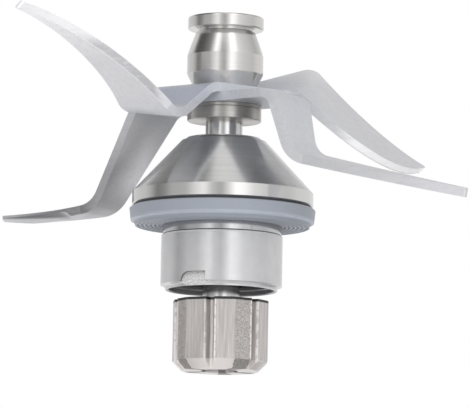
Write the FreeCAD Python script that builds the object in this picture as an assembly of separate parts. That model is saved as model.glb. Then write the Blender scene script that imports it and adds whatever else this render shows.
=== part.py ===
import FreeCAD, Part
import math
import os

os.makedirs("parts", exist_ok=True)

V = FreeCAD.Vector
UP = V(0, 0, 1)

# Housing. Height zero is the shoulder where the locating spigot starts, under the neck.
NECK_L = 6.48
BODY_L = 11.75
FLANGE_T = 2.92
CONE_H = 11.78
CONE_TOP_R = 8.86
FLANGE_R = 19.48
BODY_WALL = 2.05
NECK_STEP = 0.3
CEILING_T = 1.0
CORNER_R = 1.0
RIM_SOFT = 0.25

# Locking recesses in the foot of the spigot.
NOTCH_W = 6.0
NOTCH_H = 2.95
NOTCH_R = 2.1
NOTCH_DEPTH = 1.05
NOTCH_AZ = 241.3

# Ring seal.
SEAL_T = 4.38
SEAL_PROUD = 0.52
SEAL_STEP = 0.5
RIBS = 6
RIB_PITCH = 0.92
RIB_H = 0.34
RIB_LAND = 1.6

# Drive shaft.
SHAFT_R = 4.0
SEAT_STEP = 0.5
THREAD_R = 3.0
THREAD_L = 8.3
FLATS = 5.6
COLLAR_LIFT = 3.66

# Bearings, eight bore, twenty two outside, seven wide.
BRG_R = 11.0
BRG_W = 7.0
BALL_R = 1.98
BALLS = 7
RACE_T = 1.85
SPACER_L = 10.0
CLIP_T = 1.0
SHAFT_CLIP_T = 0.8
SHIM_T = 0.8
CLIP_INSET = 1.83
GROOVE_DEPTH = 0.6
SHAFT_GROOVE = 0.2
EAR_WALL = 0.4

# Shaft seal.
LIP_SEAT = 3.0
SPRING_WIRE_R = 0.3

# Fits.
RUN_GAP = 0.04
SHIELD_GAP = 0.15
FLAT_GAP = 0.03
LIP_GAP = 0.03
CLEAR = 0.3

# Blade stack.
SHEET = 1.95
WASHER_T = 0.76
COLLAR_T = 2.64
STACK_R = 7.97

# End knob.
KNOB_H = 15.34
CAP_T = 2.75
CAP_R = 8.14
GROOVE_T = 0.3
GROOVE_R = 5.85
BULB_R = 8.19
BULB_TOP_R = 6.4
BULB_WALL_H = 4.15
BULB_FOOT_R = 6.74

# Sheet work of the two blades.
UPPER_AZ = 37.8
LOWER_AZ = 322.0
TIP_W = 1.3
EDGE_T = 0.5
GRIND_W = 3.2

# Coupling star.
COUPLING_DROP = 2.2
COUPLING_H = 15.07
LOBES = 6
LOBE_AZ = 287.0
LOBE_R = 10.48
SHOULDER_DROP = 0.43
VALLEY_R = 8.25
LOBE_HALF = 24.5
VALLEY_HALF = 2.2
FOOT_R = 8.3
FOOT_H = 2.5
SCREW_R = 2.0
SCREW_L = 8.4
SCREW_HEAD_R = 3.6
SCREW_HEAD_H = 2.1
FOOT_WASHER_T = 0.5
FOOT_RECESS = 3.1
SOCKET_R = 1.75

# Heights that follow.
FLANGE_Z = NECK_L
CONE_FOOT = FLANGE_Z + FLANGE_T
CONE_TOP = CONE_FOOT + CONE_H
BODY_END = -BODY_L
CLIP_Z = BODY_END + CLIP_INSET
SHIM_Z = CLIP_Z + CLIP_T
LOWER_BRG_Z = SHIM_Z + SHIM_T
LOWER_BRG_TOP = LOWER_BRG_Z + BRG_W
UPPER_BRG_Z = LOWER_BRG_TOP + SPACER_L
UPPER_BRG_TOP = UPPER_BRG_Z + BRG_W
LIP_Z = UPPER_BRG_TOP + SHAFT_CLIP_T + CLEAR
LIP_TOP = CONE_TOP - CEILING_T
COLLAR_FOOT = CONE_TOP + COLLAR_LIFT
WASHER_FOOT = COLLAR_FOOT + COLLAR_T
BLADE_FOOT = WASHER_FOOT + WASHER_T
LOWER_BLADE_TOP = BLADE_FOOT + SHEET
BLADE_TOP = LOWER_BLADE_TOP + SHEET
KNOB_TOP = BLADE_TOP + KNOB_H
THREAD_TOP = BLADE_TOP + THREAD_L
COUPLING_TOP = BODY_END - COUPLING_DROP
COUPLING_END = COUPLING_TOP - COUPLING_H
SHOULDER_Z = COUPLING_TOP - 1.2
WASHER_SEAT = COUPLING_END + FOOT_RECESS
SCREW_SEAT = WASHER_SEAT - FOOT_WASHER_T
SHAFT_FOOT = WASHER_SEAT + 0.4
LOWER_CLIP_Z = LOWER_BRG_Z - SHAFT_CLIP_T

# Radii that follow.
BODY_R = BRG_R + BODY_WALL
NECK_R = BODY_R - NECK_STEP
SEAL_R = FLANGE_R + SEAL_PROUD
SEAT_R = SHAFT_R - SEAT_STEP
TOP_HOLE_R = SHAFT_R + 0.6
LIP_R = SHAFT_R + LIP_SEAT
MOUTH_R = BRG_R + 0.3
CLIP_GROOVE_R = BRG_R + GROOVE_DEPTH
PITCH_R = (SHAFT_R + BRG_R) / 2
OUTER_LAND_R = BRG_R - RACE_T
INNER_LAND_R = SHAFT_R + RACE_T
SHAFT_CLIP_R = SHAFT_R + 1.4


def spin(points):
    """Solid of revolution about Z from (radius, height) corners; a third value bulges the span after it."""
    rim = list(points)
    rim.append(rim[0])
    edges = []
    for here, there in zip(rim[:-1], rim[1:]):
        a = V(here[0], 0, here[1])
        b = V(there[0], 0, there[1])
        if len(here) == 3:
            run = b.sub(a)
            side = V(run.z, 0, -run.x).normalize()
            mid = a.add(b).multiply(0.5).add(side.multiply(here[2]))
            edges.append(Part.Arc(a, mid, b).toShape())
        else:
            edges.append(Part.makeLine(a, b))
    face = Part.Face(Part.Wire(edges))
    return face.revolve(V(0, 0, 0), UP, 360)


def tube(r_in, r_out, z_low, z_high, soft=0.0):
    """Ring with its four corners eased by soft."""
    s = soft
    if s <= 0:
        return spin([(r_in, z_low), (r_out, z_low), (r_out, z_high), (r_in, z_high)])
    low = [(r_in + s, z_low), (r_out - s, z_low), (r_out, z_low + s), (r_out, z_high - s)]
    high = [(r_out - s, z_high), (r_in + s, z_high), (r_in, z_high - s), (r_in, z_low + s)]
    return spin(low + high)


def rod(r, z_low, z_high):
    return Part.makeCylinder(r, z_high - z_low, V(0, 0, z_low))


def polar(r, deg, z=0.0):
    a = math.radians(deg)
    return V(r * math.cos(a), r * math.sin(a), z)


def turned(shape, deg):
    out = shape.copy()
    out.rotate(V(0, 0, 0), UP, deg)
    return out


def double_d(r, across, z_low, z_high):
    """Round bar with two flats, the flats square to X."""
    bar = rod(r, z_low, z_high)
    slab = Part.makeBox(across, 4 * r, z_high - z_low, V(-across / 2, -2 * r, z_low))
    return bar.common(slab)


def save(name, shape):
    solid = shape.removeSplitter()
    solid.exportStep("parts/" + name + ".step")
    print(name, "ok" if solid.isValid() else "BAD", len(solid.Solids), round(solid.Volume, 2))


# Housing: cone, flange, neck and spigot turned from one bar, bored through for the bearings.
def make_housing():
    corner_sag = CORNER_R * (1 - math.sqrt(0.5))
    outside = [
        (TOP_HOLE_R, CONE_TOP),
        (CONE_TOP_R - 0.9, CONE_TOP, 0.22),
        (CONE_TOP_R + 0.25, CONE_TOP - 0.62),
        (FLANGE_R, CONE_FOOT),
        (FLANGE_R, FLANGE_Z + RIM_SOFT),
        (FLANGE_R - RIM_SOFT, FLANGE_Z),
        (NECK_R, FLANGE_Z),
        (NECK_R, 0.3),
        (BODY_R - NECK_STEP / 2, 0.15),
        (BODY_R, 0),
        (BODY_R, BODY_END + CORNER_R, corner_sag),
        (BODY_R - CORNER_R, BODY_END),
        (MOUTH_R + 0.2, BODY_END),
        (MOUTH_R, BODY_END + 0.2),
        (MOUTH_R, BODY_END + 1.0),
        (BRG_R, BODY_END + 1.3),
        (BRG_R, CLIP_Z),
        (CLIP_GROOVE_R, CLIP_Z),
        (CLIP_GROOVE_R, SHIM_Z),
        (BRG_R, SHIM_Z),
        (BRG_R, UPPER_BRG_TOP),
        (LIP_R, UPPER_BRG_TOP),
        (LIP_R, LIP_TOP),
        (TOP_HOLE_R, LIP_TOP),
    ]
    body = spin(outside)
    for turn in (0, 180):
        body = body.cut(turned(notch(), turn))
    return body


def notch():
    """Locking recess in the foot of the spigot, rounded at one upper corner, open at the rim."""
    low = BODY_END - 0.5
    top = BODY_END + NOTCH_H
    x0 = -NOTCH_W / 2
    x1 = NOTCH_W / 2
    k = NOTCH_R * (1 - math.sqrt(0.5))
    edges = [
        Part.makeLine(V(x0, 0, low), V(x1, 0, low)),
        Part.makeLine(V(x1, 0, low), V(x1, 0, top)),
        Part.makeLine(V(x1, 0, top), V(x0 + NOTCH_R, 0, top)),
        Part.Arc(V(x0 + NOTCH_R, 0, top), V(x0 + k, 0, top - k), V(x0, 0, top - NOTCH_R)).toShape(),
        Part.makeLine(V(x0, 0, top - NOTCH_R), V(x0, 0, low)),
    ]
    face = Part.Face(Part.Wire(edges))
    face.translate(V(0, -(BODY_R + 1.0), 0))
    block = face.extrude(V(0, 1.0 + NOTCH_DEPTH, 0))
    return turned(block, NOTCH_AZ - 270)


def make_ring_seal():
    """Flat ring seal, stepped back under the flange, with fine concentric ribs below."""
    top = FLANGE_Z
    bottom = top - SEAL_T
    step_r = FLANGE_R - SEAL_STEP
    rim = [(NECK_R, top), (step_r, top), (step_r, top - SEAL_STEP), (SEAL_R - 0.3, top - SEAL_STEP)]
    rim += [(SEAL_R, top - SEAL_STEP - 0.3), (SEAL_R - 0.3, bottom + 1.0, 0.26)]
    rim.append((SEAL_R - 1.25, bottom))
    for i in range(RIBS):
        r = SEAL_R - RIB_LAND - i * RIB_PITCH
        rim.append((r, bottom))
        rim.append((r - 0.16, bottom + RIB_H))
        rim.append((r - 0.40, bottom + RIB_H))
        rim.append((r - 0.56, bottom))
    rim.append((NECK_R + 0.3, bottom))
    rim.append((NECK_R, bottom + 0.3))
    return spin(rim)


def make_lip_seal():
    """Shaft seal, an outer band with a lip turned down to the shaft."""
    bore = SHAFT_R + LIP_GAP
    wall = 0.7
    return spin([
        (LIP_R, LIP_Z),
        (LIP_R, LIP_TOP),
        (bore + 0.9, LIP_TOP),
        (bore, LIP_TOP - 0.35),
        (bore, LIP_TOP - 0.75),
        (bore + wall, LIP_TOP - 1.45),
        (bore + 2 * wall, LIP_TOP - 1.0),
        (LIP_R - wall, LIP_TOP - 1.0),
        (LIP_R - wall, LIP_Z),
    ])


def lip_spring():
    """Garter spring lying in the hollow behind the lip."""
    r = SHAFT_R + LIP_GAP + 1.05
    return Part.makeTorus(r, SPRING_WIRE_R, V(0, 0, LIP_TOP - 1.23 - SPRING_WIRE_R - 0.09), UP)


# Bearings.
SHIELD_T = 0.4
SHIELD_INSET = 0.55
SHIELD_BITE = 0.35


def shield_lows(z):
    return z + SHIELD_INSET, z + BRG_W - SHIELD_INSET - SHIELD_T


def race_groove(z):
    return Part.makeTorus(PITCH_R, BALL_R + RUN_GAP, V(0, 0, z + BRG_W / 2), UP)


def outer_ring(z):
    ring = tube(OUTER_LAND_R, BRG_R, z, z + BRG_W, 0.3).cut(race_groove(z))
    for low in shield_lows(z):
        ring = ring.cut(tube(OUTER_LAND_R - 1, OUTER_LAND_R + SHIELD_BITE, low, low + SHIELD_T))
    return ring


def inner_ring(z):
    return tube(SHAFT_R, INNER_LAND_R, z, z + BRG_W, 0.25).cut(race_groove(z))


def shield(low):
    """Pressed shield, its rim snapped in the outer ring."""
    return tube(INNER_LAND_R + SHIELD_GAP, OUTER_LAND_R + SHIELD_BITE, low, low + SHIELD_T)


def balls(z):
    out = []
    for i in range(BALLS):
        spot = polar(PITCH_R, 360.0 * i / BALLS, z + BRG_W / 2)
        out.append(Part.makeSphere(BALL_R, spot))
    return Part.makeCompound(out)


def cage(z):
    """Cage, a thin ring between the balls with a round pocket for each."""
    mid = z + BRG_W / 2
    half_w = 0.4
    half_h = BALL_R + 0.32
    ring = tube(PITCH_R - half_w, PITCH_R + half_w, mid - half_h, mid + half_h)
    for i in range(BALLS):
        deg = 360.0 * i / BALLS
        pocket = Part.makeCylinder(BALL_R + RUN_GAP, 4 * half_w, polar(PITCH_R - 2 * half_w, deg, mid), polar(1, deg))
        ring = ring.cut(pocket)
    return ring


def circlip(r_groove, r_free, z, thick, ear_r, slot):
    """Spring clip, open at the front between two drilled ears on its free side."""
    inward = r_free < r_groove
    ring = tube(min(r_groove, r_free), max(r_groove, r_free), z, z + thick)
    ear_at = r_free - 0.1 if inward else r_free + 0.1
    hole_r = 0.42 * ear_r
    ear_x = slot / 2 + EAR_WALL + hole_r
    ear_y = -math.sqrt(ear_at**2 - ear_x**2)
    for side in (-1, 1):
        ring = ring.fuse(Part.makeCylinder(ear_r, thick, V(side * ear_x, ear_y, z)))
    if not inward:
        ring = ring.cut(rod(r_groove, z - 1, z + thick + 1))
    for side in (-1, 1):
        ring = ring.cut(Part.makeCylinder(hole_r, thick + 2, V(side * ear_x, ear_y, z - 1)))
    reach = 3 * r_groove
    return ring.cut(Part.makeBox(slot, reach, thick + 2, V(-slot / 2, -reach, z - 1)))


def shaft_circlip(z):
    return circlip(SHAFT_R - SHAFT_GROOVE, SHAFT_CLIP_R, z, SHAFT_CLIP_T, 0.95, 1.2)


# Turning group.
def make_shaft():
    bar = rod(SHAFT_R, SHOULDER_Z, COLLAR_FOOT)
    bar = bar.fuse(rod(SEAT_R, COLLAR_FOOT, WASHER_FOOT))
    bar = bar.fuse(double_d(SEAT_R, FLATS, WASHER_FOOT, BLADE_TOP))
    root = BLADE_TOP - 0.1
    bar = bar.fuse(spin([(0, root), (THREAD_R, root), (THREAD_R, THREAD_TOP - 0.6),
                         (THREAD_R - 0.6, THREAD_TOP), (0, THREAD_TOP)]))
    bar = bar.fuse(double_d(SEAT_R, FLATS, SHAFT_FOOT, SHOULDER_Z))
    for low in (LOWER_CLIP_Z, UPPER_BRG_TOP):
        bar = bar.cut(tube(SHAFT_R - SHAFT_GROOVE, SHAFT_R + 1, low, low + SHAFT_CLIP_T))
    return bar.cut(rod(SCREW_R, SHAFT_FOOT - 1, SCREW_SEAT + SCREW_L + 0.5))


def make_knob():
    """Turned end knob, a bulb that narrows to a groove under a flat cap, threaded on the shaft."""
    cap_foot = KNOB_TOP - CAP_T
    groove_foot = cap_foot - GROOVE_T
    bulb_low = BLADE_TOP + 2.75
    return spin([
        (THREAD_R, BLADE_TOP),
        (BULB_FOOT_R, BLADE_TOP),
        (BULB_R - 0.1, bulb_low, 0.05),
        (BULB_R, bulb_low + 0.55),
        (BULB_R, bulb_low + BULB_WALL_H, 0.06),
        (BULB_TOP_R, groove_foot - 0.3),
        (GROOVE_R, groove_foot),
        (GROOVE_R, cap_foot),
        (CAP_R - 0.35, cap_foot, 0.1),
        (CAP_R, cap_foot + 0.35),
        (CAP_R, KNOB_TOP - 0.4, 0.11),
        (CAP_R - 0.4, KNOB_TOP),
        (0, KNOB_TOP),
        (0, THREAD_TOP + 1.8),
        (THREAD_R, THREAD_TOP + 0.4),
    ])


# Blades: each is one strip of sheet, folded along slanting lines and ground to an edge near its tips.
class Fold:
    """Straight bend across an arm.

    out is the distance along the arm at which the bend line crosses its middle, line the plan
    direction of the bend line, down the turn in degrees, near and far the places of the
    strip's two edges where they cross it, and inside the radius on the hollow side.
    """

    def __init__(self, out, line, down, near, far, inside):
        self.out = out
        self.line = line
        self.down = down
        self.near = near
        self.far = far
        self.inside = inside

    def aim(self, arm_az):
        """Point, direction toward the far edge, and outward normal of the bend line in the flat."""
        a = math.radians(self.line - arm_az)
        self.p = V(self.out, 0, 0)
        self.d = V(math.cos(a), math.sin(a), 0)
        if self.d.y < 0:
            self.d = self.d.multiply(-1)
        self.u = V(self.d.y, -self.d.x, 0)
        top_r = self.inside + SHEET if self.down > 0 else self.inside
        self.back = top_r * math.tan(math.radians(abs(self.down)) / 2)

    def offset(self, shift):
        return self.p.add(V(self.u).multiply(shift))


def meet(p, d, a, b):
    """Crossing of the line p + d with the line through a and b, all in the flat."""
    e = b.sub(a)
    den = d.x * e.y - d.y * e.x
    w = b.sub(p)
    k = (w.x * e.y - w.y * e.x) / den
    return p.add(V(d).multiply(k))


def bow(a, b, sag):
    """Arc from a to b bulging by sag toward its left."""
    run = b.sub(a)
    side = V(-run.y, run.x, 0).normalize()
    mid = a.add(b).multiply(0.5).add(side.multiply(sag))
    return Part.Arc(a, mid, b).toShape()


def slab(edges):
    """Sheet panel below a closed outline drawn on the upper face."""
    return Part.Face(Part.Wire(edges)).extrude(V(0, 0, -SHEET))


def polygon(points):
    ring = points + [points[0]]
    return [Part.makeLine(a, b) for a, b in zip(ring[:-1], ring[1:])]


def bend(fold, near, far):
    """Curved piece of sheet between two panels; near and far hold an edge's points before and after it."""
    down = fold.down > 0
    r_top = fold.inside + SHEET if down else fold.inside
    r_low = fold.inside if down else fold.inside + SHEET
    centre = fold.offset(-fold.back).add(V(0, 0, -r_top if down else r_top))
    steps = 6
    rings = []
    for i in range(steps + 1):
        part = float(i) / steps
        a = math.radians(abs(fold.down)) * part
        lift = math.cos(a) if down else -math.cos(a)
        out = V(fold.u).multiply(math.sin(a)).add(V(0, 0, lift))
        corners = []
        for r, pair in ((r_top, near), (r_top, far), (r_low, far), (r_low, near)):
            start, end = [q.sub(fold.p).dot(fold.d) for q in pair]
            along = V(fold.d).multiply(start + (end - start) * part)
            corners.append(centre.add(V(out).multiply(r)).add(along))
        rings.append(Part.makePolygon(corners + [corners[0]]))
    return Part.makeLoft(rings, True, False)


def strip_edge(folds, side):
    """Points of one edge in the flat: its hub end, then before and after each bend."""
    knots = [V(0, getattr(folds[0], side), 0)]
    for fold in folds:
        v = getattr(fold, side)
        knots.append(meet(fold.p, fold.d, V(0, v, 0), V(1, v, 0)))
    points = [knots[0]]
    for i, fold in enumerate(folds):
        knot = knots[i + 1]
        points.append(meet(fold.offset(-fold.back), fold.d, knots[i], knot))
        if i + 1 < len(folds):
            points.append(meet(fold.offset(fold.back), fold.d, knot, knots[i + 2]))
        else:
            points.append(knot.add(V(fold.u).multiply(fold.back)))
    return points


def ground_edge(edge, inward, ground_face, start):
    """Cutter that grinds one face toward one long edge, from start along it to past the tip."""
    depth = SHEET - EDGE_T
    steps = 8
    past_tip = 3.0
    base = 0 if ground_face == "upper" else -SHEET
    sense = -1 if ground_face == "upper" else 1
    rings = []
    for i in range(steps + 2):
        part = min(1.0, float(i) / steps)
        at = edge.FirstParameter + (edge.LastParameter - edge.FirstParameter) * (start + (1 - start) * part)
        t = edge.tangentAt(at)
        t = V(t.x, t.y, 0).normalize()
        side = V(-t.y, t.x, 0)
        p = edge.valueAt(at)
        if side.dot(inward) < 0:
            side = side.multiply(-1)
        if i > steps:
            p = p.add(V(t).multiply(past_tip))
        grow = min(1.0, 0.04 + 4 * part)
        face = V(side).multiply(GRIND_W * grow * (1 - 0.4 * part**2))
        over = V(side).multiply(-0.8)
        skin = V(0, 0, base)
        bite = V(0, 0, base + sense * depth * grow)
        clear = V(0, 0, base - sense * 0.5)
        corners = [p.add(face).add(skin), p.add(bite), p.add(over).add(bite), p.add(over).add(clear),
                   p.add(face).add(clear)]
        rings.append(Part.makePolygon(corners + [corners[0]]))
    return Part.makeLoft(rings, True, False)


def wing(az, z_top, folds, tip, bows, grind):
    """One blade arm: hub strip, then a bend and a panel for each fold, the last a curved ground blade."""
    for fold in folds:
        fold.aim(az)
    near = strip_edge(folds, "near")
    far = strip_edge(folds, "far")
    place = FreeCAD.Placement(V(0, 0, z_top), FreeCAD.Rotation(UP, az))
    out = []

    def put(shape):
        piece = shape.copy()
        piece.transformShape(place.toMatrix(), True)
        out.append(piece)

    for i, fold in enumerate(folds):
        k = 2 * i
        put(slab(polygon([near[k], near[k + 1], far[k + 1], far[k]])))
        put(bend(fold, near[k + 1:k + 3], far[k + 1:k + 3]))
        turn = FreeCAD.Placement(V(0, 0, 0), FreeCAD.Rotation(fold.d, fold.down), fold.p)
        place = place.multiply(turn)

    n_root = near[-1]
    f_root = far[-1]
    across = V(f_root.sub(n_root)).normalize().multiply(TIP_W / 2)
    point = V(tip[0], tip[1], 0)
    n_tip = point.sub(across)
    f_tip = point.add(across)
    middle = V(n_root).add(f_root).multiply(0.5)
    inward = f_root.sub(n_root)
    nose = point.add(V(point.sub(middle)).normalize().multiply(0.4))
    lead = bow(n_root, n_tip, bows[0])
    trail = bow(f_root, f_tip, bows[1])
    nib = Part.Arc(n_tip, nose, f_tip).toShape()
    blade = slab([lead, nib, trail, Part.makeLine(f_root, n_root)])
    ground_face, start = grind
    blade = blade.cut(ground_edge(lead, inward, ground_face, start))
    put(blade)
    return out


def one_sheet(arms, z_top):
    body = arms[0]
    for piece in arms[1:]:
        body = body.fuse(piece)
    return body.cut(double_d(SEAT_R + FLAT_GAP, FLATS + 2 * FLAT_GAP, z_top - SHEET - 1, z_top + 1))


def make_upper_blade():
    """One arm dips beside the hub and then climbs; the other lifts to a ridge and then falls."""
    climbing = wing(UPPER_AZ + 180, BLADE_TOP,
                    [Fold(10.4, 143.5, 40.8, 6.85, -7.8, 3.0), Fold(20.7, 130.7, -79.9, 7.5, -7.65, 3.2)],
                    tip=(52.2, -18.4), bows=(5.0, 5.5), grind=("lower", 0.03))
    ridged = wing(UPPER_AZ, BLADE_TOP,
                  [Fold(7.55, 157.6, -20.1, -6.85, 7.8, 1.6), Fold(22.6, 79.3, 52.6, -7.8, 7.6, 1.6)],
                  tip=(61.7, -9.6), bows=(-7.1, -4.0), grind=("upper", 0.03))
    return one_sheet(climbing + ridged, BLADE_TOP)


def make_lower_blade():
    """Both arms drop steeply beside the cone and then reach out nearly level."""
    z = LOWER_BLADE_TOP
    left = wing(LOWER_AZ - 180, z,
                [Fold(19.1, 54.4, 56.3, 7.87, -7.7, 2.4), Fold(44.8, 52.4, -52.9, 4.5, -3.9, 6.0)],
                tip=(68.3, 5.3), bows=(-2.1, -1.5), grind=("lower", 0.1))
    right = wing(LOWER_AZ, z,
                 [Fold(17.9, 59.3, 72.6, -7.87, 7.7, 2.4), Fold(32.4, 65.1, -59.6, -4.9, 6.25, 4.8)],
                 tip=(73.9, 5.3), bows=(-1.8, -1.3), grind=("upper", 0.03))
    return one_sheet(left + right, z)


# Coupling.
def star():
    """Closed outline of the lobed star; each lobe has two flats that meet in a ridge."""
    step = 360.0 / LOBES
    shoulder_r = LOBE_R - SHOULDER_DROP
    corners = []
    for i in range(LOBES):
        az = LOBE_AZ + step * i
        corners.append(polar(shoulder_r, az - LOBE_HALF, COUPLING_END))
        corners.append(polar(LOBE_R, az, COUPLING_END))
        corners.append(polar(shoulder_r, az + LOBE_HALF, COUPLING_END))
        corners.append(polar(VALLEY_R, az + step / 2 - VALLEY_HALF, COUPLING_END))
        corners.append(polar(VALLEY_R, az + step / 2 + VALLEY_HALF, COUPLING_END))
    return Part.makePolygon(corners + [corners[0]])


def make_coupling():
    block = Part.Face(star()).extrude(V(0, 0, COUPLING_H))
    wide = LOBE_R + 0.3
    block = block.common(spin([
        (0, COUPLING_END),
        (FOOT_R, COUPLING_END),
        (wide, COUPLING_END + FOOT_H),
        (wide, COUPLING_TOP - 0.3),
        (wide - 0.5, COUPLING_TOP),
        (0, COUPLING_TOP),
    ]))
    block = block.cut(rod(SHAFT_R + FLAT_GAP, SHOULDER_Z, COUPLING_TOP + 1))
    block = block.cut(double_d(SEAT_R + FLAT_GAP, FLATS + 2 * FLAT_GAP, WASHER_SEAT, SHOULDER_Z))
    return block.cut(rod(SCREW_HEAD_R + 0.4, COUPLING_END - 1, WASHER_SEAT))


def make_foot_screw():
    z = SCREW_SEAT
    foot = z - SCREW_HEAD_H
    head = spin([(0, z), (SCREW_HEAD_R, z), (SCREW_HEAD_R, foot + 0.6), (SCREW_HEAD_R - 0.5, foot), (0, foot)])
    hexagon = [polar(SOCKET_R, 60 * i, foot - 1) for i in range(7)]
    socket = Part.Face(Part.makePolygon(hexagon)).extrude(V(0, 0, 2.2))
    return head.fuse(rod(SCREW_R, z, z + SCREW_L)).cut(socket)


# Every piece.
save("bearing_housing", make_housing())
save("flange_seal", make_ring_seal())
save("shaft_lip_seal", make_lip_seal())
save("lip_spring", lip_spring())
for tag, z in (("upper", UPPER_BRG_Z), ("lower", LOWER_BRG_Z)):
    save(tag + "_outer_ring", outer_ring(z))
    save(tag + "_inner_ring", inner_ring(z))
    shield_low, shield_high = shield_lows(z)
    save(tag + "_bottom_shield", shield(shield_low))
    save(tag + "_top_shield", shield(shield_high))
    save(tag + "_balls", balls(z))
    save(tag + "_cage", cage(z))
save("outer_spacer", tube(BRG_R - 1.4, BRG_R, LOWER_BRG_TOP, UPPER_BRG_Z, 0.2))
save("inner_spacer", tube(SHAFT_R, SHAFT_R + 1.6, LOWER_BRG_TOP, UPPER_BRG_Z, 0.2))
save("shim_washer", tube(BRG_R - 1.6, BRG_R - 0.1, SHIM_Z, LOWER_BRG_Z))
save("housing_circlip", circlip(CLIP_GROOVE_R, BRG_R - 1.1, CLIP_Z, CLIP_T, 1.25, 2.0))
save("lower_shaft_circlip", shaft_circlip(LOWER_CLIP_Z))
save("upper_shaft_circlip", shaft_circlip(UPPER_BRG_TOP))
save("drive_shaft", make_shaft())
save("end_knob", make_knob())
save("upper_blade", make_upper_blade())
save("lower_blade", make_lower_blade())
save("blade_washer", tube(SEAT_R + FLAT_GAP, STACK_R, WASHER_FOOT, BLADE_FOOT, 0.12))
save("blade_collar", tube(SEAT_R, STACK_R, COLLAR_FOOT, WASHER_FOOT, 0.15))
save("drive_coupling", make_coupling())
save("coupling_washer", tube(SCREW_R + 0.1, SCREW_HEAD_R + 0.3, SCREW_SEAT, WASHER_SEAT))
save("coupling_screw", make_foot_screw())
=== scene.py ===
import math

import bpy
from mathutils import Euler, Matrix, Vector


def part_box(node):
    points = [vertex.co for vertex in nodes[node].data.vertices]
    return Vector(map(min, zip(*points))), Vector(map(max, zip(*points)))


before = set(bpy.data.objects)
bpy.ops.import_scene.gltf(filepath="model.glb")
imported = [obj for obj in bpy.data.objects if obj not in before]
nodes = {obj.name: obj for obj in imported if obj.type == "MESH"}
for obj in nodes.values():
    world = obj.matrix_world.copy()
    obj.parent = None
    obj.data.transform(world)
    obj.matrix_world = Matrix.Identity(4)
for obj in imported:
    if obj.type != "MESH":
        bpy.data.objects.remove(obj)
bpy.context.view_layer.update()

MM = 0.001
DEGREE = math.radians(1)


def heights(node):
    """Where a piece starts and ends along the shaft, in mm."""
    low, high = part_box(node)
    return low[2] / MM, high[2] / MM


# Camera: place and clip distances in metres, angles in degrees, lens and sensor in mm.
CAMERA_AT = (0.0, -1.2878, -0.1521)
CAMERA_YAW = 0.118
CAMERA_PITCH = 7.047
CAMERA_ROLL = 1.052
CAMERA_LENS = 462.6
SENSOR = 36.0
CLIP = (0.01, 20.0)

# Colours.
HOUSING_STEEL = (0.66, 0.655, 0.65)
SPIGOT_STEEL = (0.63, 0.63, 0.64)
NECK_STEEL = (0.60, 0.60, 0.61)
# Painted light: a pale band over the shadow line of the step under the neck.
SHOULDER_PAINTED_LIGHT = (0.66, 0.66, 0.67)
# Painted shade: the bore's steel made darker, where little light reaches.
BORE_SHADE_STEEL = (0.42, 0.42, 0.43)
MILLED_DARK = (0.58, 0.57, 0.57)
MILLED_LIGHT = (0.82, 0.81, 0.81)
# Painted shade on the recess walls.
RECESS_WALL_SHADE = (0.14, 0.14, 0.14)
KNOB_STEEL = (0.70, 0.69, 0.675)
BLADE_STEEL = (0.75, 0.75, 0.78)
# Painted shade and reflection: the blades darker and bluer round the hub.
HUB_SHADE_REFLECTION = (0.58, 0.61, 0.67)
# Painted reflection: a bluer tint on the fold face.
FOLD_REFLECTION_BLUE = (0.64, 0.685, 0.79)
# Painted light: near white, for the arm tips and for the drooping arm's shaded edges.
PAINTED_LIGHT_STEEL = (0.97, 0.97, 0.98)
COLLAR_STEEL = (0.52, 0.505, 0.48)
BRIGHT_STEEL = (0.68, 0.68, 0.68)
SHEET_STEEL = (0.58, 0.58, 0.59)
CLIP_BLACK = (0.10, 0.10, 0.105)
SCREW_STEEL = (0.52, 0.52, 0.53)
SINTERED = (0.64, 0.605, 0.59)
# Painted highlight on the coupling's lobe edges.
LOBE_EDGE_HIGHLIGHT = (0.93, 0.91, 0.90)
# Painted shadow along the coupling's top edge, in the gap above it.
GAP_SHADOW = (0.06, 0.06, 0.06)
SILICONE = (0.38, 0.41, 0.475)
GROOVE_SHADOW = (0.08, 0.08, 0.085)
LIP_RUBBER = (0.03, 0.03, 0.032)
CAGE_POLYMER = (0.62, 0.57, 0.46)

# Places that looks follow, in mm. A pair named edge is where a soft border starts and ends, and a pair
# named span is where a band starts and ends.
SEAL_FOOT, NECK_TOP = heights("flange_seal")
BODY_FOOT = heights("bearing_housing")[0]
NECK_TOP_EDGE = (NECK_TOP - 0.1, NECK_TOP)
NECK_FOOT_EDGE = (4.0, 4.2)
NECK_SPAN = (0.06, SEAL_FOOT + 0.1)
SHOULDER_SPAN = (-0.28, 0.02)
FLANGE_SPAN = (NECK_TOP, 9.40)
FLANGE_RIM_EDGE = (18.9, 19.1)
BORE_EDGE = (11.75, 11.85)

# The recesses: azimuth in degrees, and the cosine of the angle that they reach to either side of it.
RECESS_AZ = 241.3
RECESS_SIDE = (0.95, 0.955)
RECESS_TOP_EDGE = (BODY_FOOT + 3.0, BODY_FOOT + 3.05)
RECESS_FOOT_EDGE = (BODY_FOOT + 0.85, BODY_FOOT + 1.05)
RECESS_FLOOR_SPAN = (11.9, 12.04)
RECESS_WALL_EDGE = (12.05, 12.08)
BODY_SIDE_EDGE = (12.95, 13.0)

# The blades. Arms are named by how they stand, and LEVEL is the hanging arm's end. The vectors point across
# the hanging arm and the way that three flat faces look; what is named after one is a distance along it.
HUB_EDGE = (12.0, 24.0)
TIP_EDGE = (35.0, 47.0)
HANGING_SIDE_EDGE = (-17, -12)
HANGING_TOP_EDGE = (25, 27)
HANGING_ACROSS = (0.65, 0.76, 0)
HANGING_ACROSS_EDGE = (-5.5, 2.0)
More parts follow.
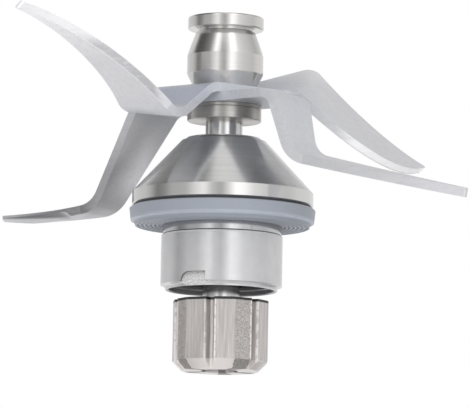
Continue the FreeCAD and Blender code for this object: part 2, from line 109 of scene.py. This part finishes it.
# Painted light on the hanging arm: how it grows upward, and the height below which there is none.
HANGING_LIGHT_RISE_EDGE = (15, 26)
HANGING_LIGHT_START_EDGE = (8, 14)
LEVEL_SIDE_EDGE = (-31, -27)
LEVEL_TOP_EDGE = (12, 13)
LEVEL_BEVEL_EDGE = (6.65, 6.9)
LEVEL_UNDER_EDGE = (6.45, 6.7)
LEVEL_HEEL_SPAN = (-33, -24)
LEVEL_HEEL_EDGE = (7.0, 7.7)
LEVEL_PALE_EDGE = (-36, -33)
FOLD_FACE = (-0.39, -0.53, 0.76)
FOLD_FACE_SPAN = (30.8, 31.3)
FOLD_HEIGHT_SPAN = (27.0, 31.2)
UPRIGHT_UNDER = (-0.54, -0.36, -0.76)
UPRIGHT_UNDER_EDGE = (-5.82, -5.70)
UPRIGHT_SIDE_EDGE = (-15, -12)
UPRIGHT_HEIGHT_SPAN = (26.5, 37.5)
DROOPING_TOP = (0.70, -0.35, 0.63)
DROOPING_TOP_SPAN = (29.0, 30.6)
DROOPING_SIDE_EDGE = (24, 28)
DROOPING_BACK_EDGE = (4, 6)
# The upright arm's near edge is nearly a parabola in plan, about this x, and bowed by so much per metre.
RIM_APEX = -23.5
RIM_BOW = 15.5
RIM_EDGE = (-20.9, -20.4)

# The coupling. Its faces left rough by the press are in degrees of azimuth.
COUPLING_END, COUPLING_TOP = heights("drive_coupling")
# Painted shadow: where it starts below the coupling's top edge.
COUPLING_GAP_SHADOW_EDGE = (COUPLING_TOP - 0.60, COUPLING_TOP - 0.54)
COUPLING_BEVEL_EDGE = (COUPLING_END + 1.8, COUPLING_END + 2.0)
ROUGH_FACES = [(-154, -137), (-73, -49), (20, 38), (70, 92), (140, 158)]
LOBE_AZ = 287.0
LOBE_HALF_PITCH = 30
# Where the painted highlights on the lobe edges lie.
LOBE_HIGHLIGHT_SPAN = (22.8, 25.0)
LOBE_HIGHLIGHT_EDGE = (9.5, 9.6)

# The ring seal.
SEAL_SIDE_EDGE = (SEAL_FOOT + 1.3, SEAL_FOOT + 1.6)
SEAL_UNDER_EDGE = (SEAL_FOOT + 0.65, SEAL_FOOT + 0.85)
SEAL_GROOVE_EDGE = (NECK_TOP - 0.52, NECK_TOP - 0.48)

# Cells of each pattern to the metre.
PATCHES = 260.0
SPIGOT_CLOUDS = 320.0
MILLED_GRAIN = 2000.0
SHEET_CLOUDS = 90.0
RUB_MARKS = 420.0
STREAKS = 1300.0
RAGGED_BORDER = 900.0
METAL_GRAINS = 3800.0
METAL_PORES = 2400.0
DRAWN_LINES = 1700.0
SEAL_CLOUDS = 160.0
SEAL_DUST = 3000.0
MOULD_GRAIN = 2200.0
MOULD_CLOUDS = 240.0
# Cells of the coarse tool lines to one of the fine ones.
COARSE_LINES = 0.22
# How patterns are stretched: metres per radian round the axis, and a share of the length along or off it.
TOOL_LINE_DRIFT = 0.00008
PATCH_ROUND = 0.004
STREAK_ROUND = 0.020
STREAK_OUTWARD = 0.10
DRAWN_ROUND = 0.010
DRAWN_ALONG = 0.05
RUB_ALONG = 6.0
# How far the rough faces' borders wander, as a share of a turn.
RAGGED_REACH = 0.02

# Brightness of the room round the part, by degrees from the front, right side positive.
BRIGHTEST = 2.0
LEFT_AND_FRONT = [(-104, 0.52), (-92, 0.24), (-80, 0.33), (-68, 0.54), (-48, 0.56), (-38, 0.80), (-24, 1.15),
                  (-14, 0.70), (-2, 0.50), (7, 0.90), (17, 1.5), (27, 1.35), (40, 0.93), (60, 0.78)]
LOW_BANDS = [(-180, 0.84), (-150, 0.76), (-115, 0.68)] + LEFT_AND_FRONT + [
    (90, 0.68), (112, 0.82), (150, 0.84), (180, 0.84)]
BELOW_BANDS = [(-180, 0.9), (-150, 1.1), (-130, 1.0)] + LEFT_AND_FRONT + [
    (90, 0.60), (108, 0.25), (135, 0.20), (155, 0.5), (180, 0.9)]
FRONT_BANDS = [(-117, 0.18), (-104, 0.10), (-85, 0.13), (-66, 0.24), (-56, 0.34), (-46, 0.75), (-36, 1.6),
               (-24, 1.1), (-13, 0.45), (0, 0.52), (12, 0.95), (23, 1.7), (36, 1.6), (47, 1.0), (66, 0.82),
               (98, 0.66), (116, 0.56)]
HIGH_BANDS = [(-180, 0.8), (-140, 0.82), (-124, 0.62)] + FRONT_BANDS + [(130, 0.66), (150, 0.72), (180, 0.8)]
UPPER_BANDS = [(-180, 0.62), (-158, 0.56), (-148, 0.36), (-136, 0.24)] + FRONT_BANDS + [
    (130, 0.48), (140, 0.55), (156, 0.62), (180, 0.62)]
CEILING = [(-180, 0.14), (-150, 0.08), (-119, 0.08), (-80, 0.22), (0, 0.45), (80, 0.30), (119, 0.13),
           (180, 0.14)]
GROUND = 0.85
OVERHEAD = 0.62
# Where one set of bands goes over into the next, as the height of a unit direction.
GROUND_TO_BELOW = (-0.95, -0.80)
BELOW_TO_LOW = (-0.36, -0.16)
LOW_TO_HIGH = (0.20, 0.40)
HIGH_TO_UPPER = (0.46, 0.60)
UPPER_TO_CEILING = (0.74, 0.88)
# The overhead panel, on the sphere of unit directions.
OVERHEAD_X = 0.08
OVERHEAD_EDGE = (0.19, 0.30)
OVERHEAD_LOWEST = (0.5, 0.6)

# Area lamps: name, place, aim, width and height in metres, power in watts, and then whether the camera and
# reflections show them. Three of them are fill that only matt surfaces show.
LAMPS = [
    ("top_soft", (0.0, -0.30, 0.9), (0, 0, 0.01), 0.8, 0.8, 0.9, True, True),
    ("front_fill", (-0.19, -0.85, 0.34), (0, 0, 0.01), 0.5, 0.5, 2.4, True, False),
    ("low_left", (-0.32, 0.10, -0.15), (0, 0, 0.02), 0.3, 0.2, 0.20, False, False),
    ("under_foot", (0, 0, -0.17), (0, 0, 0.0), 0.12, 0.12, 0.16, False, False),
]

# Floor, well below the part, because the photo's camera stands lower than the part's foot. Metres.
FLOOR_SIZE = 0.5
FLOOR_Z = -0.175
FLOOR_WHITE = 0.85
FLOOR_LIFT = 0.46
CLOTH_GREY = 0.40
CLOTH_LEFT = (-0.18, -0.13)
CLOTH_FRONT = (0.01, 0.07)

# First input and output of a mix node, by kind.
MIX_SOCKETS = {"FLOAT": (2, 0), "RGBA": (6, 2)}


def scaled(colour, factor):
    """The colour made lighter or darker."""
    return tuple(c * factor for c in colour)


class Graph:
    """A node tree with short ways to add nodes and link them."""

    def __init__(self, tree):
        self.tree = tree

    def add(self, kind, **settings):
        """A new node, with settings such as its operation."""
        n = self.tree.nodes.new(kind)
        for key, value in settings.items():
            setattr(n, key, value)
        return n

    def feed(self, socket, value):
        """Link or set an input; a colour without alpha gets one."""
        if isinstance(value, bpy.types.NodeSocket):
            self.tree.links.new(value, socket)
        elif socket.type == "RGBA" and len(value) == 3:
            socket.default_value = (*value, 1.0)
        else:
            socket.default_value = value

    def node(self, kind, **sockets):
        """A new node, with what goes into its inputs."""
        n = self.add(kind)
        for key, value in sockets.items():
            self.feed(n.inputs[key.replace("_", " ")], value)
        return n

    def math(self, operation, a, b=0.0):
        n = self.add("ShaderNodeMath", operation=operation)
        self.feed(n.inputs[0], a)
        self.feed(n.inputs[1], b)
        return n.outputs[0]

    def product(self, first, *others):
        for value in others:
            first = self.math("MULTIPLY", first, value)
        return first

    def remap(self, value, from_low, from_high, low=0.0, high=1.0, kind="LINEAR"):
        n = self.add("ShaderNodeMapRange", interpolation_type=kind)
        limits = {"Value": value, "From Min": from_low, "From Max": from_high, "To Min": low, "To Max": high}
        for key, number in limits.items():
            self.feed(n.inputs[key], number)
        return n.outputs["Result"]

    def blend(self, factor, a, b, kind="FLOAT"):
        """From a to b as the factor goes from zero to one."""
        first, out = MIX_SOCKETS[kind]
        n = self.add("ShaderNodeMix", data_type=kind)
        self.feed(n.inputs[0], factor)
        self.feed(n.inputs[first], a)
        self.feed(n.inputs[first + 1], b)
        return n.outputs[out]

    def mix(self, factor, a, b):
        return self.blend(factor, a, b, "RGBA")

    def split(self, vector):
        return self.node("ShaderNodeSeparateXYZ", Vector=vector).outputs

    def combine(self, x, y, z):
        return self.node("ShaderNodeCombineXYZ", X=x, Y=y, Z=z).outputs[0]


class Shade(Graph):
    """One material and the nodes that lead into its shader."""

    def __init__(self, name, colour, metal, rough, aniso=0.0):
        self.mat = bpy.data.materials.new(name)
        self.mat.use_nodes = True
        super().__init__(self.mat.node_tree)
        self.bsdf = self.tree.nodes["Principled BSDF"]
        self.set(Base_Color=colour, Metallic=metal, Roughness=rough, Anisotropic=aniso)
        self.coord = self.node("ShaderNodeTexCoord").outputs["Object"]
        self.normal = None

    def set(self, **looks):
        for key, value in looks.items():
            self.feed(self.bsdf.inputs[key.replace("_", " ")], value)

    def layer(self, mask, **looks):
        """Lay other values of the shader's inputs over the present ones where the mask is one."""
        for key, value in looks.items():
            socket = self.bsdf.inputs[key.replace("_", " ")]
            under = socket.links[0].from_socket if socket.is_linked else socket.default_value
            kind = "RGBA" if socket.type == "RGBA" else "FLOAT"
            self.feed(socket, self.blend(mask, under, value, kind))

    def around(self):
        """Radius, azimuth and height of the surface point, about the shaft."""
        x, y, z = self.split(self.coord)
        radius = self.math("SQRT", self.math("ADD", self.product(x, x), self.product(y, y)))
        return radius, self.math("ARCTAN2", y, x), z

    def along(self, direction):
        """How far the surface point lies along a direction."""
        n = self.add("ShaderNodeVectorMath", operation="DOT_PRODUCT")
        self.feed(n.inputs[0], self.coord)
        self.feed(n.inputs[1], direction)
        return n.outputs["Value"]

    def noise(self, where, scale, detail=3.0, rough=0.6):
        """Noise with a scale in cells to the metre."""
        n = self.node("ShaderNodeTexNoise", Vector=where, Scale=scale, Detail=detail, Roughness=rough)
        return n.outputs["Fac"]

    def average(self, a, b, share):
        """The mean of two patterns, with the share of the first."""
        return self.math("ADD", self.product(a, share), self.product(b, 1.0 - share))

    def spread(self, pattern, reach=0.15, low=0.0, high=1.0):
        """A pattern's middle part stretched from low to high."""
        return self.remap(pattern, 0.5 - reach, 0.5 + reach, low, high)

    def mottle(self, pattern, colour, contrast, reach=0.15):
        """A colour made darker and lighter by a pattern."""
        dark, light = scaled(colour, 1.0 - contrast), scaled(colour, 1.0 + contrast)
        return self.mix(self.spread(pattern, reach), dark, light)

    def rise(self, value, edge, top=1.0, foot=0.0, unit=MM):
        """Foot below an edge and top above it."""
        return self.remap(value, edge[0] * unit, edge[1] * unit, foot, top)

    def fall(self, value, edge, top=1.0, unit=MM):
        """Top below an edge and zero above it."""
        return self.remap(value, edge[0] * unit, edge[1] * unit, top, 0.0)

    def band(self, value, span, soft, unit=MM):
        """One in a span and zero outside it, with borders as wide as soft."""
        low, high = span
        return self.product(self.rise(value, (low - soft, low), unit=unit),
                            self.fall(value, (high, high + soft), unit=unit))

    def bump(self, height, depth):
        """Relief of a depth in mm, over any that is there."""
        n = self.node("ShaderNodeBump", Height=height, Distance=depth * MM)
        if self.normal is not None:
            self.feed(n.inputs["Normal"], self.normal)
        self.normal = n.outputs["Normal"]
        self.set(Normal=self.normal)

    def turned_tangent(self):
        """Highlights spread along the profile, across the tool marks."""
        self.set(Tangent=self.add("ShaderNodeTangent", direction_type="RADIAL", axis="Z").outputs[0])
        self.set(Anisotropic_Rotation=0.25)


def turned(name, colour, rough, aniso, line, depth, contrast, calm=None):
    """Lathe-turned steel: fine tool lines round the axis, uneven in sheen, finer below a calm edge."""
    s = Shade(name, colour, metal=1.0, rough=rough, aniso=aniso)
    s.turned_tangent()
    radius, azimuth, z = s.around()
    rows = s.combine(radius, z, s.product(azimuth, TOOL_LINE_DRIFT))
    lines = s.noise(rows, 1.0 / (line * MM), rough=0.65)
    coarse = s.noise(rows, COARSE_LINES / (line * MM), detail=2.0, rough=0.5)
    patches = s.noise(s.combine(s.product(azimuth, PATCH_ROUND), radius, z), PATCHES)
    tone = s.average(s.average(lines, coarse, share=0.6), patches, share=0.94)
    s.set(Base_Color=s.mottle(tone, colour, contrast, reach=0.2))
    s.set(Roughness=s.remap(s.math("ADD", lines, patches), 0.6, 1.4, rough * 0.8, rough * 1.25))
    if calm:
        lines = s.product(lines, s.rise(z, calm, foot=0.12))
    s.bump(lines, depth)
    return s


def recess_look(s, radius, azimuth, z):
    """The milled recesses: grainy floor, and walls painted dark as shade."""
    facing = s.math("ABSOLUTE", s.math("COSINE", s.math("SUBTRACT", azimuth, RECESS_AZ * DEGREE)))
    inward = s.product(radius, facing)
    cut = s.product(s.remap(facing, *RECESS_SIDE), s.fall(z, RECESS_TOP_EDGE))
    milled = s.noise(s.coord, MILLED_GRAIN, rough=0.7)
    s.layer(s.product(cut, s.band(inward, RECESS_FLOOR_SPAN, soft=0.02)), Roughness=0.5, Metallic=0.3,
            Base_Color=s.mix(s.spread(milled, reach=0.1), MILLED_DARK, MILLED_LIGHT))
    # Painted shade: the recess walls dark.
    walls = s.product(s.rise(inward, RECESS_WALL_EDGE), s.fall(radius, BODY_SIDE_EDGE),
                      s.rise(z, RECESS_FOOT_EDGE))
    s.layer(s.product(cut, walls), Base_Color=RECESS_WALL_SHADE, Roughness=0.5)


def housing_look():
    """Turned cone and polished flange band over a finer, satin neck and spigot, with painted shade in the
    bore.
    """
    s = turned("housing_turned", HOUSING_STEEL, rough=0.20, aniso=0.6, line=0.16, depth=0.003, contrast=0.08,
               calm=NECK_TOP_EDGE)
    radius, azimuth, z = s.around()
    cloud = s.noise(s.coord, SPIGOT_CLOUDS)
    s.layer(s.fall(z, NECK_TOP_EDGE), Base_Color=s.mottle(cloud, SPIGOT_STEEL, contrast=0.03),
            Roughness=s.spread(cloud, 0.2, 0.11, 0.15), Metallic=0.55, Anisotropic=0.3)
    rim = s.product(s.band(z, FLANGE_SPAN, soft=0.05), s.rise(radius, FLANGE_RIM_EDGE))
    s.layer(rim, Base_Color=scaled(HOUSING_STEEL, 1.08), Roughness=0.17)
    recess_look(s, radius, azimuth, z)
    s.layer(s.band(z, NECK_SPAN, soft=0.04), Metallic=0.9, Roughness=0.10, Base_Color=NECK_STEEL)
    # Painted light: a pale, matt band over the shoulder step's shadow line.
    s.layer(s.band(z, SHOULDER_SPAN, soft=0.04), Base_Color=SHOULDER_PAINTED_LIGHT, Metallic=0.15)
    # Painted shade: the bore darker than the rest of the housing.
    bore = s.product(s.fall(radius, BORE_EDGE), s.fall(z, NECK_FOOT_EDGE))
    s.layer(bore, Base_Color=BORE_SHADE_STEEL, Roughness=0.34, Metallic=1.0)
    return s


def satin(name, colour, rough, grain, depth, contrast=0.05):
    """Tumbled or blasted steel: a fine, even grain with faint clouds and rub marks."""
    s = Shade(name, colour, metal=1.0, rough=rough)
    fine = s.noise(s.coord, 1.0 / (grain * MM), detail=4.0)
    cloud = s.noise(s.coord, SHEET_CLOUDS, rough=0.55)
    x, y, z = s.split(s.coord)
    rub = s.noise(s.combine(x, y, s.product(z, RUB_ALONG)), RUB_MARKS, detail=2.0, rough=0.5)
    s.set(Base_Color=s.mottle(s.average(fine, cloud, share=0.5), colour, contrast))
    s.set(Roughness=s.remap(s.math("ADD", cloud, rub), 0.7, 1.3, rough * 0.88, rough * 1.14))
    s.bump(fine, depth)
    return s


def hanging_arm(s, x, z):
    """The hanging left arm: duller; painted light right, upward and below; painted shade on its heel and end
    bevel.
    """
    arm = s.product(s.fall(x, HANGING_SIDE_EDGE), s.fall(z, HANGING_TOP_EDGE))
    s.layer(arm, Metallic=0.92, Roughness=0.34)
    across = s.rise(s.along(HANGING_ACROSS), HANGING_ACROSS_EDGE)
    upward = s.rise(z, HANGING_LIGHT_RISE_EDGE, top=0.5)
    bright = s.product(s.math("MAXIMUM", across, upward), s.rise(z, HANGING_LIGHT_START_EDGE))
    # Painted light: the arm brighter to the right and upward.
    s.layer(s.product(arm, bright), Metallic=0.3, Base_Color=scaled(BLADE_STEEL, 1.18))
    # Painted shade on the heel and, darker still, on the bevel of the level end.
    heel_shade = scaled(BLADE_STEEL, 0.68)
    heel = s.product(s.band(x, LEVEL_HEEL_SPAN, soft=2), s.fall(z, LEVEL_HEEL_EDGE))
    s.layer(heel, Base_Color=heel_shade)
    level = s.product(s.fall(x, LEVEL_SIDE_EDGE, top=0.85), s.fall(z, LEVEL_TOP_EDGE))
    s.layer(s.product(level, s.rise(z, LEVEL_BEVEL_EDGE)), Base_Color=scaled(BLADE_STEEL, 0.50))
    # Underside: painted light at the far end, going over into the heel's painted shade.
    pale = s.mix(s.rise(x, LEVEL_PALE_EDGE), scaled(BLADE_STEEL, 1.04), heel_shade)
    s.layer(s.product(level, s.fall(z, LEVEL_UNDER_EDGE)), Metallic=0.4, Base_Color=pale)


def upright_arm(s, x, y, z):
    """The upright left arm's near edge, which faces down, painted darker as shade; its line in plan is nearly
    a parabola.
    """
    bow = s.math("SUBTRACT", x, RIM_APEX * MM)
    inside = s.math("SUBTRACT", y, s.product(bow, bow, RIM_BOW))
    under = s.fall(s.along(UPRIGHT_UNDER), UPRIGHT_UNDER_EDGE)
    rim = s.product(s.fall(inside, RIM_EDGE), s.fall(x, UPRIGHT_SIDE_EDGE),
                    s.band(z, UPRIGHT_HEIGHT_SPAN, soft=3.0), under)
    # Painted shade on the downward-facing near edge.
    s.layer(rim, Base_Color=scaled(BLADE_STEEL, 0.62))


def drooping_arm(s, x, y):
    """The drooping right arm's edges, painted near white as light over their shade."""
    edges = s.product(s.band(s.along(DROOPING_TOP), DROOPING_TOP_SPAN, soft=0.08),
                      s.rise(x, DROOPING_SIDE_EDGE), s.rise(y, DROOPING_BACK_EDGE))
    # Painted light on the edges, which face down into shade.
    s.layer(edges, Base_Color=PAINTED_LIGHT_STEEL, Metallic=0.1)


def blade_look():
    """Blasted sheet, pale along the arms, painted darker and bluer round the hub as shade and reflection,
    with faint grinding streaks.
    """
    s = satin("blade_satin", BLADE_STEEL, rough=0.42, grain=0.35, depth=0.004, contrast=0.035)
    s.set(Metallic=0.55)
    radius, azimuth, z = s.around()
    x, y, _ = s.split(s.coord)
    lengthwise = s.combine(s.product(radius, STREAK_OUTWARD), s.product(azimuth, STREAK_ROUND), z)
    streak = s.noise(lengthwise, STREAKS)
    # Painted shade and reflection: darker and bluer round the hub.
    s.layer(s.fall(radius, HUB_EDGE, top=0.75), Base_Color=HUB_SHADE_REFLECTION)
    # Painted light: the arms paler toward their tips, higher up.
    s.layer(s.rise(z, TIP_EDGE, top=0.85), Base_Color=PAINTED_LIGHT_STEEL, Metallic=0.15)
    hanging_arm(s, x, z)
    # Painted reflection: the fold face tinted bluer.
    fold = s.product(s.band(s.along(FOLD_FACE), FOLD_FACE_SPAN, soft=0.1),
                     s.band(z, FOLD_HEIGHT_SPAN, soft=0.3))
    s.layer(fold, Base_Color=FOLD_REFLECTION_BLUE)
    upright_arm(s, x, y, z)
    drooping_arm(s, x, y)
    s.layer(s.remap(streak, 0.5, 0.72, 0.0, 0.35), Base_Color=scaled(BLADE_STEEL, 1.12))
    s.layer(s.remap(streak, 0.28, 0.5, 0.30, 0.0), Base_Color=scaled(BLADE_STEEL, 0.84))
    return s


def rough_faces(s, azimuth, ragged):
    """One on the faces that the press left rough, with ragged borders."""
    turn = s.math("DIVIDE", s.math("ADD", azimuth, math.pi), 2 * math.pi)
    turn = s.math("ADD", turn, s.product(s.math("SUBTRACT", ragged, 0.5), RAGGED_REACH))
    n = s.add("ShaderNodeValToRGB")
    n.color_ramp.interpolation = "CONSTANT"
    s.feed(n.inputs[0], turn)
    stops = n.color_ramp.elements
    stops[0].color = (0, 0, 0, 1)
    stops[1].position = 1.0
    stops[1].color = (0, 0, 0, 1)
    for low, high in ROUGH_FACES:
        stops.new((low + 180) / 360).color = (1, 1, 1, 1)
        stops.new((high + 180) / 360).color = (0, 0, 0, 1)
    return n.outputs[0]


def sintered_look():
    """Pressed powder metal: pores and glinting grains, smoother where the drive has worn it; painted
    highlights and shadow.
    """
    rough = 0.46
    s = Shade("coupling_sintered", SINTERED, metal=0.72, rough=rough)
    radius, azimuth, z = s.around()
    ragged = s.noise(s.coord, RAGGED_BORDER)
    coarse = rough_faces(s, azimuth, ragged)
    grains = s.noise(s.coord, METAL_GRAINS, detail=4.0, rough=0.7)
    pores = s.node("ShaderNodeTexVoronoi", Vector=s.coord, Scale=METAL_PORES).outputs["Distance"]
    speck = s.remap(grains, 0.42, 0.62)
    upright = s.combine(s.product(azimuth, DRAWN_ROUND), 0.0, s.product(z, DRAWN_ALONG))
    drawn = s.noise(upright, DRAWN_LINES)
    plain = s.mix(s.spread(drawn), scaled(SINTERED, 0.80), scaled(SINTERED, 1.12))
    broken = s.mix(speck, scaled(SINTERED, 0.62), scaled(SINTERED, 1.12))
    s.set(Base_Color=s.mix(coarse, plain, broken))
    s.set(Roughness=s.remap(coarse, 0.0, 1.0, rough * 0.8, rough * 1.2))
    bevel = s.fall(z, COUPLING_BEVEL_EDGE)
    s.layer(s.product(coarse, bevel), Base_Color=s.mix(speck, scaled(SINTERED, 0.42), scaled(SINTERED, 0.72)))
    s.layer(s.product(s.math("SUBTRACT", 1.0, coarse), bevel), Base_Color=scaled(SINTERED, 1.28))
    # Painted highlights on the edges of the lobes.
    off_lobe = s.math("PINGPONG", s.math("SUBTRACT", azimuth, LOBE_AZ * DEGREE), LOBE_HALF_PITCH * DEGREE)
    edge_highlight = s.product(s.band(off_lobe, LOBE_HIGHLIGHT_SPAN, soft=0.5, unit=DEGREE),
                       s.rise(radius, LOBE_HIGHLIGHT_EDGE), s.remap(ragged, 0.42, 0.5, 0.25, 0.85))
    s.layer(edge_highlight, Base_Color=LOBE_EDGE_HIGHLIGHT, Roughness=0.30, Metallic=0.35)
    # Painted shadow along the top edge.
    s.layer(s.rise(z, COUPLING_GAP_SHADOW_EDGE), Base_Color=GAP_SHADOW)
    s.bump(s.product(grains, s.remap(coarse, 0.0, 1.0, 0.2, 1.0)), depth=0.05)
    s.bump(s.product(pores, coarse), depth=0.03)
    return s


def silicone_look():
    """Dusty silicone with painted shade on its side and underside, darker than the bevel, and a painted
    shadow line over it.
    """
    rough = 0.42
    s = Shade("seal_silicone", SILICONE, metal=0.0, rough=rough)
    s.set(Sheen_Weight=0.15, Sheen_Roughness=0.5)
    _, _, z = s.split(s.coord)
    cloud = s.noise(s.coord, SEAL_CLOUDS)
    dust = s.noise(s.coord, SEAL_DUST, detail=2.0)
    s.set(Base_Color=s.mottle(s.average(cloud, dust, share=0.7), SILICONE, contrast=0.07))
    s.set(Roughness=s.spread(cloud, 0.2, rough * 0.9, rough * 1.15))
    # Painted shade: the side darker than the bevel, and the underside darker still.
    s.layer(s.rise(z, SEAL_SIDE_EDGE, top=0.9), Base_Color=scaled(SILICONE, 0.80))
    s.layer(s.fall(z, SEAL_UNDER_EDGE, top=0.9), Base_Color=scaled(SILICONE, 0.66))
    s.layer(s.rise(z, SEAL_GROOVE_EDGE), Base_Color=GROOVE_SHADOW, Specular_IOR_Level=0.1)
    s.bump(dust, depth=0.01)
    return s


def moulded(name, colour, rough, metal=0.0):
    """Plain moulded or blackened surface with a fine even grain."""
    s = Shade(name, colour, metal, rough)
    fine = s.noise(s.coord, MOULD_GRAIN)
    cloud = s.noise(s.coord, MOULD_CLOUDS, detail=2.0, rough=0.5)
    s.set(Base_Color=s.mottle(cloud, colour, contrast=0.1))
    s.set(Roughness=s.spread(fine, 0.2, rough * 0.88, rough * 1.12))
    s.bump(fine, depth=0.008)
    return s


# Which look each node wears.
knob = turned("knob_polished", KNOB_STEEL, rough=0.17, aniso=0.55, line=0.10, depth=0.0012, contrast=0.05)
collar = turned("collar_brushed", COLLAR_STEEL, rough=0.34, aniso=0.7, line=0.14, depth=0.004, contrast=0.14)
shaft = turned("shaft_ground", BRIGHT_STEEL, rough=0.14, aniso=0.5, line=0.10, depth=0.001, contrast=0.05)
ring_steel = turned("bearing_ground", BRIGHT_STEEL, rough=0.16, aniso=0.4, line=0.08, depth=0.0008,
                    contrast=0.04)
blade = blade_look()
ball_steel = satin("ball_polished", BRIGHT_STEEL, rough=0.08, grain=0.5, depth=0.0004, contrast=0.02)
sheet_steel = satin("shield_sheet", SHEET_STEEL, rough=0.30, grain=0.25, depth=0.003)
screw_steel = satin("screw_plated", SCREW_STEEL, rough=0.32, grain=0.3, depth=0.004)
clip_steel = moulded("clip_blackened", CLIP_BLACK, rough=0.38, metal=0.9)
cage = moulded("cage_polymer", CAGE_POLYMER, rough=0.5)

LOOKS = {
    "bearing_housing": housing_look(),
    "flange_seal": silicone_look(),
    "shaft_lip_seal": moulded("lip_rubber", LIP_RUBBER, rough=0.55),
    "lip_spring": shaft,
    "outer_spacer": ring_steel,
    "inner_spacer": ring_steel,
    "shim_washer": sheet_steel,
    "housing_circlip": clip_steel,
    "lower_shaft_circlip": clip_steel,
    "upper_shaft_circlip": clip_steel,
    "drive_shaft": shaft,
    "end_knob": knob,
    "upper_blade": blade,
    "lower_blade": blade,
    "blade_washer": collar,
    "blade_collar": collar,
    "drive_coupling": sintered_look(),
    "coupling_washer": sheet_steel,
    "coupling_screw": screw_steel,
}
for side in ("upper", "lower"):
    for part, look in (("outer_ring", ring_steel), ("inner_ring", ring_steel), ("top_shield", sheet_steel),
                       ("bottom_shield", sheet_steel), ("balls", ball_steel), ("cage", cage)):
        LOOKS[side + "_" + part] = look

for name, look in LOOKS.items():
    obj = nodes[name]
    if not obj.material_slots:
        obj.data.materials.append(look.mat)
    for slot in obj.material_slots:
        slot.material = look.mat


def make_world():
    """A white room for the camera; the metal reflects soft bands of light round the part instead."""
    world = bpy.data.worlds.new("studio")
    bpy.context.scene.world = world
    world.use_nodes = True
    world.node_tree.nodes.clear()
    g = Graph(world.node_tree)
    x, y, z = g.split(g.node("ShaderNodeTexCoord").outputs["Generated"])
    # From 0 to 1 round the part, one half toward the front, growing to the right.
    turn = g.math("DIVIDE", g.math("ARCTAN2", x, g.product(y, -1.0)), math.pi)
    turn = g.math("ADD", g.product(turn, 0.5), 0.5)

    def bands(stops):
        n = g.add("ShaderNodeValToRGB")
        g.feed(n.inputs[0], turn)
        elements = n.color_ramp.elements
        rows = [(degrees / 360.0 + 0.5, level / BRIGHTEST) for degrees, level in stops]
        # A new ramp has two stops, which take the ends.
        for element, (place, level) in zip((elements[0], elements[1]), (rows[0], rows[-1])):
            element.position = place
            element.color = (level, level, level, 1)
        for place, level in rows[1:-1]:
            elements.new(place).color = (level, level, level, 1)
        return g.product(n.outputs[0], BRIGHTEST)

    def over(edge, below, above):
        return g.blend(g.remap(z, *edge, kind="SMOOTHSTEP"), below, above)

    room = over(LOW_TO_HIGH, bands(LOW_BANDS), bands(HIGH_BANDS))
    room = over(HIGH_TO_UPPER, room, bands(UPPER_BANDS))
    room = over(BELOW_TO_LOW, bands(BELOW_BANDS), room)
    room = over(UPPER_TO_CEILING, room, bands(CEILING))
    shift = g.math("SUBTRACT", x, OVERHEAD_X)
    off = g.math("SQRT", g.math("ADD", g.product(shift, shift), g.product(y, y)))
    near = g.math("SUBTRACT", 1.0, g.remap(off, *OVERHEAD_EDGE, kind="SMOOTHSTEP"))
    room = g.blend(g.product(over(OVERHEAD_LOWEST, 0.0, 1.0), near), room, OVERHEAD)
    room = over(GROUND_TO_BELOW, GROUND, room)
    camera_ray = g.node("ShaderNodeLightPath").outputs["Is Camera Ray"]
    back = g.node("ShaderNodeBackground", Color=(1, 1, 1, 1), Strength=g.blend(camera_ray, room, 1.0))
    g.node("ShaderNodeOutputWorld", Surface=back.outputs[0])


def make_lamp(name, place, aim, width, height, power, seen, reflected):
    data = bpy.data.lights.new(name, "AREA")
    data.shape = "RECTANGLE"
    data.size = width
    data.size_y = height
    data.energy = power
    lamp = bpy.data.objects.new(name, data)
    lamp.location = place
    lamp.rotation_euler = (Vector(aim) - Vector(place)).to_track_quat("-Z", "Y").to_euler()
    lamp.visible_camera = seen
    lamp.visible_glossy = reflected
    bpy.context.scene.collection.objects.link(lamp)


def floor_look():
    """White, lifted to pure white for the camera; the metal sees a darker cloth at the back right."""
    s = Shade("floor_white", (FLOOR_WHITE, FLOOR_WHITE, FLOOR_WHITE), metal=0.0, rough=0.9)
    camera_ray = s.node("ShaderNodeLightPath").outputs["Is Camera Ray"]
    x, y, _ = s.split(s.coord)
    cloth = s.blend(s.remap(x, *CLOTH_LEFT), 0.0, s.remap(y, *CLOTH_FRONT))
    tone = s.blend(camera_ray, s.blend(cloth, FLOOR_WHITE, CLOTH_GREY), FLOOR_WHITE)
    s.set(Base_Color=tone, Specular_IOR_Level=0.1, Emission_Color=(1, 1, 1, 1))
    s.set(Emission_Strength=s.product(camera_ray, FLOOR_LIFT))
    s.mat.cycles.emission_sampling = "NONE"
    return s


def make_floor():
    half = FLOOR_SIZE / 2
    corners = [(-half, -half, FLOOR_Z), (half, -half, FLOOR_Z), (half, half, FLOOR_Z), (-half, half, FLOOR_Z)]
    mesh = bpy.data.meshes.new("floor")
    mesh.from_pydata(corners, [], [(0, 1, 2, 3)])
    mesh.materials.append(floor_look().mat)
    floor = bpy.data.objects.new("floor", mesh)
    bpy.context.scene.collection.objects.link(floor)


def make_camera():
    data = bpy.data.cameras.new("camera")
    data.sensor_width = SENSOR
    data.lens = CAMERA_LENS
    data.clip_start, data.clip_end = CLIP
    camera = bpy.data.objects.new("camera", data)
    camera.location = CAMERA_AT
    turn = Euler((math.radians(90 + CAMERA_PITCH), 0, -math.radians(CAMERA_YAW)), "XYZ").to_matrix()
    roll = Euler((0, 0, math.radians(CAMERA_ROLL)), "XYZ").to_matrix()
    camera.rotation_euler = (turn @ roll).to_euler()
    bpy.context.scene.collection.objects.link(camera)
    bpy.context.scene.camera = camera


make_world()
for lamp in LAMPS:
    make_lamp(*lamp)
make_floor()
make_camera()
bpy.context.scene.view_settings.view_transform = "Standard"
